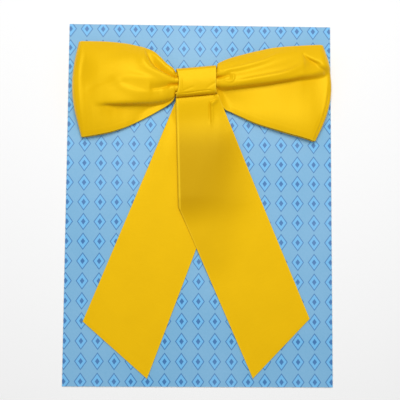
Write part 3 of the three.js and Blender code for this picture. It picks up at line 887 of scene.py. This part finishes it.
def new_material(name):
    """An empty node material, and the function that adds a node to it and gives one of its outputs."""
    material = bpy.data.materials.new(name)
    material.use_nodes = True
    tree = material.node_tree
    tree.nodes.clear()

    def make(kind, values=None, out=0, **settings):
        node = tree.nodes.new("ShaderNode" + kind)
        for key, value in settings.items():
            setattr(node, key, value)
        for key, value in (values or {}).items():
            if isinstance(value, bpy.types.NodeSocket):
                tree.links.new(value, node.inputs[key])
            else:
                node.inputs[key].default_value = value
        return node.outputs[out] if node.outputs else node

    return material, make


def surfaced(material, make, values):
    """The material, finished with one surface shader."""
    make("OutputMaterial", {"Surface": make("BsdfPrincipled", values)})
    return material


def maths(make, operation, *values):
    return make("Math", dict(enumerate(values)), operation=operation)


def mixed(make, factor, a, b):
    """A colour between two colours."""
    return make("Mix", {0: factor, 6: a, 7: b}, out=2, data_type="RGBA")


def noise(make, place, scale, detail, roughness=0.5):
    values = {"Vector": place, "Scale": scale, "Detail": detail, "Roughness": roughness}
    return make("TexNoise", values, out="Fac")


def spread(make, share, low, high):
    """A value from low to high as a share goes from 0 to 1."""
    return make("MapRange", {"Value": share, "To Min": low, "To Max": high})


def weighted(make, a, a_share, b, b_share, operation="ADD"):
    """The sum or the difference of two values, each taken in its share."""
    return maths(make, operation, maths(make, "MULTIPLY", a, a_share), maths(make, "MULTIPLY", b, b_share))


def satin_material():
    material, make = new_material("golden_satin")
    cloth = make("UVMap", uv_map="cloth")
    place = make("TexCoord", out="Object")

    # Floats of thread along the ribbon, each tied down two fifths past its neighbour.
    axes = make("SeparateXYZ", {"Vector": cloth}).node.outputs
    floats = make("TexBrick", {
        "Vector": make("CombineXYZ", {"X": axes[1], "Y": axes[0]}),
        "Scale": 1700, "Mortar Size": 0.05, "Mortar Smooth": 0.7, "Brick Width": 1, "Row Height": 0.25,
    }, out="Fac", offset=0.4, offset_frequency=1)
    slub = noise(make, make("Mapping", {"Vector": cloth, "Scale": (70, 1100, 1)}), 1, 3, 0.6)
    cloud = noise(make, place, 38, 2)

    # Even dye with faint slubs and clouds, a painted shade where other layers lie behind and a painted
    # highlight along rims and pressed folds.
    deep, bright = (0.71, 0.405, 0.002, 1), (0.83, 0.485, 0.003, 1)
    painted_shade, rim_highlight = (0.46, 0.24, 0.001, 1), (0.88, 0.57, 0.02, 1)
    edge, behind = (
        make("Attribute", out="Fac", attribute_type="GEOMETRY", attribute_name=name)
        for name in ("rim_distance", "backed")
    )
    # The painted highlight along rims and pressed folds fades out 1.5 mm in.
    highlight_share = make("MapRange", {
        "Value": edge, "From Min": 0.3 * MM, "From Max": 1.5 * MM, "To Min": 0.6, "To Max": 0,
    }, interpolation_type="SMOOTHSTEP")
    colour = mixed(make, weighted(make, slub, 0.4, cloud, 0.6), deep, bright)
    # Painted shade where other layers lie behind the cloth.
    colour = mixed(make, maths(make, "MULTIPLY", behind, 0.9), colour, painted_shade)
    relief = weighted(make, slub, 0.6, floats, 0.5, "SUBTRACT")
    return surfaced(material, make, {
        "Base Color": mixed(make, highlight_share, colour, rim_highlight),
        "Roughness": spread(make, slub, 0.33, 0.43),
        "Normal": make("Bump", {"Height": relief, "Strength": 0.1, "Distance": 0.0001}),
        "Tangent": make("Tangent", direction_type="UV_MAP", uv_map="cloth"),
        "IOR": 1.55,
        "Specular IOR Level": 0.65,
        "Specular Tint": (1, 0.75, 0.05, 1),
        "Anisotropic": 0.45,
        "Sheen Weight": 0.04,
        "Sheen Roughness": 0.4,
        "Sheen Tint": (1, 0.8, 0.15, 1),
    })


def card_material():
    material, make = new_material("printed_board")
    place = make("TexCoord", out="Object")
    axes = make("SeparateXYZ", {"Vector": place}).node.outputs

    # Plain diamonds in straight rows: a dark outline, a pale body and a small dark diamond in the middle.
    pitch, half = (13.6 * MM, 16.2 * MM), (5.2 * MM, 7.2 * MM)
    off = [maths(make, "DIVIDE", maths(make, "PINGPONG", axes[k], pitch[k] / 2), half[k]) for k in (0, 1)]
    reach = maths(make, "ADD", *off)

    def inside(limit, soft=0.03):
        return make("MapRange", {
            "Value": reach, "From Min": limit - soft, "From Max": limit + soft, "To Min": 1, "To Max": 0,
        })

    ground, pale, ink = (0.165, 0.41, 0.64, 1), (0.13, 0.455, 0.79, 1), (0.02, 0.15, 0.4, 1)
    colour = mixed(make, inside(1.0), ground, ink)
    colour = mixed(make, inside(0.84), colour, pale)
    colour = mixed(make, inside(0.36), colour, ink)

    # Faint fibres and clouds over the print.
    fibre, cloud = noise(make, place, 900, 3, 0.6), noise(make, place, 14, 2)
    fibres, clouds = (maths(make, "SUBTRACT", value, 0.5) for value in (fibre, cloud))
    grain = maths(make, "ADD", weighted(make, fibres, 0.16, clouds, 0.25), 0.06)
    colour = mixed(make, grain, colour, (0.5, 0.7, 0.93, 1))

    # The board's own grey-white stuff shows on its cut edges and back, and where its rim is worn.
    core = mixed(make, fibre, (0.62, 0.6, 0.56, 1), (0.78, 0.76, 0.72, 1))
    to_rim = maths(make, "MINIMUM", *(
        maths(make, "SUBTRACT", CARD[side] / 2 * MM, maths(make, "ABSOLUTE", axis))
        for side, axis in (("width", axes[0]), ("length", axes[1]))
    ))
    wear = maths(make, "LESS_THAN", to_rim, maths(make, "MULTIPLY", fibre, 0.45 * MM))
    below = maths(make, "LESS_THAN", axes[2], (CARD["thickness"] - CARD["bevel"] * 0.8) * MM)
    bare = maths(make, "MAXIMUM", wear, below)
    return surfaced(material, make, {
        "Base Color": mixed(make, bare, colour, core),
        "Roughness": spread(make, bare, 0.42, 0.85),
        "Normal": make("Bump", {"Height": fibre, "Strength": 0.15, "Distance": 0.00005}),
        "Specular IOR Level": 0.35,
    })


def steel_material():
    material, make = new_material("pin_steel")
    place = make("TexCoord", out="Object")
    lines = noise(make, make("Mapping", {"Vector": place, "Scale": (0.15, 1, 1)}), 4000, 2)
    dull = noise(make, place, 300, 3)
    return surfaced(material, make, {
        "Base Color": mixed(make, dull, (0.46, 0.46, 0.47, 1), (0.66, 0.66, 0.68, 1)),
        "Roughness": spread(make, lines, 0.18, 0.36),
        "Normal": make("Bump", {"Height": lines, "Strength": 0.1, "Distance": 0.00003}),
        "Metallic": 1,
    })


def floor_material():
    return surfaced(*new_material("pale_floor"), {"Base Color": (0.9, 0.9, 0.9, 1), "Roughness": 0.8})


# The card and the pin.

def make_card(material):
    """The board: a plate with slightly rounded corners and pressed rims."""
    half_width, half_length, top = CARD["width"] / 2, CARD["length"] / 2, CARD["thickness"]
    bevel, steps = CARD["bevel"], CARD_CORNER_STEPS
    rings = []
    for inset, z in ((bevel, 0), (0, bevel), (0, top - bevel), (bevel, top)):
        ring = rounded_oblong(half_width - inset, half_length - inset, CARD["corner"] - inset, steps)
        rings.append(np.insert(ring, 2, z, axis=1))
    faces = ring_faces(len(rings), len(rings[0]))
    board = mesh_object("backing_board", np.concatenate(rings) * MM, faces, material)
    board.data.shade_flat()
    finish_piece(board, "backing_card")


def tube(path, radius, sides):
    """Places and faces of a round wire along a path, closed at its ends."""
    path = np.array(path, float)
    along = np.gradient(path, axis=0)
    along /= np.linalg.norm(along, axis=1, keepdims=True)
    side = np.cross(along, [0, 0, 1])
    side /= np.linalg.norm(side, axis=1, keepdims=True)
    upward = np.cross(side, along)
    angle = np.linspace(0, 2 * np.pi, sides, endpoint=False)[None, :, None]
    rings = path[:, None] + radius * (np.cos(angle) * side[:, None] + np.sin(angle) * upward[:, None])
    return rings.reshape(-1, 3), ring_faces(len(path), sides)


def make_pin(material):
    """A closed safety pin: one wire bent round at its right end, its arms held in a clasp at its left."""
    steps = PIN_STEPS
    radius = PIN["wire"] / 2
    half_length, half_width = PIN["length"] / 2, PIN["width"] / 2 - radius
    start, end = PIN["arm_end"] - half_length, half_length - half_width - radius
    path = [(x, -half_width, 0) for x in np.linspace(start, end, steps["arm"])]
    for angle in np.linspace(-np.pi / 2, np.pi / 2, steps["bend"])[1:]:
        path.append((end + half_width * np.cos(angle), half_width * np.sin(angle), 0))
    path += [(x, half_width, 0) for x in np.linspace(end, start, steps["arm"])[1:]]
    places, faces = tube(path, radius, steps["sides"])

    # The clasp: a pressed sheet cap that wraps the two arms' ends.
    angle = np.linspace(0, 2 * np.pi, steps["around"], endpoint=False)
    turns = np.stack([np.cos(angle), np.sin(angle)])
    side, high = np.sign(turns) * np.abs(turns) ** CLASP["squareness"]
    cap = []
    for f in np.linspace(0, 1, steps["along"] + 1):
        x = np.full(steps["around"], CLASP["length"] * f - half_length)
        swell = roundness_at(f + CLASP["tip"], CLASP["nose"])
        depth = CLASP["depth"] * max(swell, CLASP["least"])
        cap.append(np.stack([x, PIN["width"] / 2 * swell * side, depth * high], 1))
    faces += ring_faces(len(cap), steps["around"], first=len(places), turned=True)

    z = KNOT_BACK - CLOTH / 2 - GAP - radius - PIN["play"]
    places = np.concatenate([places, *cap]) + [KNOT["x"], PIN["y"], z]
    finish_piece(mesh_object("collar_pin", places * MM, faces, material), "pin")


# The camera, the floor and the light.

def make_camera():
    look = Vector(CAMERA["look"]).normalized()
    right = look.cross(Vector(CAMERA["up"])).normalized()
    turn = Matrix((right, right.cross(look), -look)).transposed().to_4x4()
    data = bpy.data.cameras.new("photo_camera")
    data.sensor_width = CAMERA["sensor"]
    data.lens = CAMERA["lens"]
    camera = new_object("photo_camera", data)
    camera.matrix_world = Matrix.Translation(CAMERA["place"]) @ turn
    bpy.context.scene.camera = camera


def make_light(light):
    data = bpy.data.lights.new(light.name, "AREA")
    data.shape = "RECTANGLE"
    data.size = data.size_y = light.size
    data.energy = light.power
    lamp = new_object(light.name, data)
    lamp.location = light.place
    lamp.rotation_mode = "QUATERNION"
    lamp.rotation_quaternion = (Vector(LIGHT_AIM) - Vector(light.place)).to_track_quat("-Z", "Y")


def make_studio():
    world = bpy.data.worlds.new("studio")
    world.use_nodes = True
    background = world.node_tree.nodes["Background"]
    background.inputs["Color"].default_value = (1, 1, 1, 1)
    background.inputs["Strength"].default_value = WORLD_LIGHT
    bpy.context.scene.world = world
    bpy.context.scene.view_settings.view_transform = "Standard"
    for light in LIGHTS:
        make_light(light)
    corners = np.array([(-1, -1, 0), (1, -1, 0), (1, 1, 0), (-1, 1, 0)]) * FLOOR["half"]
    corners = corners - [0, 0, FLOOR["below"]]
    mesh_object("floor", corners, [[0, 1, 2, 3]], floor_material())


make_camera()
satin = satin_material()
make_card(card_material())
make_pin(steel_material())
make_tail(LEFT_TAIL, left_tail_height, left_tail_layers, satin)
make_tail(RIGHT_TAIL, right_tail_height, right_tail_layers, satin)
make_loop(LEFT_LOOP, satin)
make_loop(RIGHT_LOOP, satin)
make_knot(satin)
make_studio()
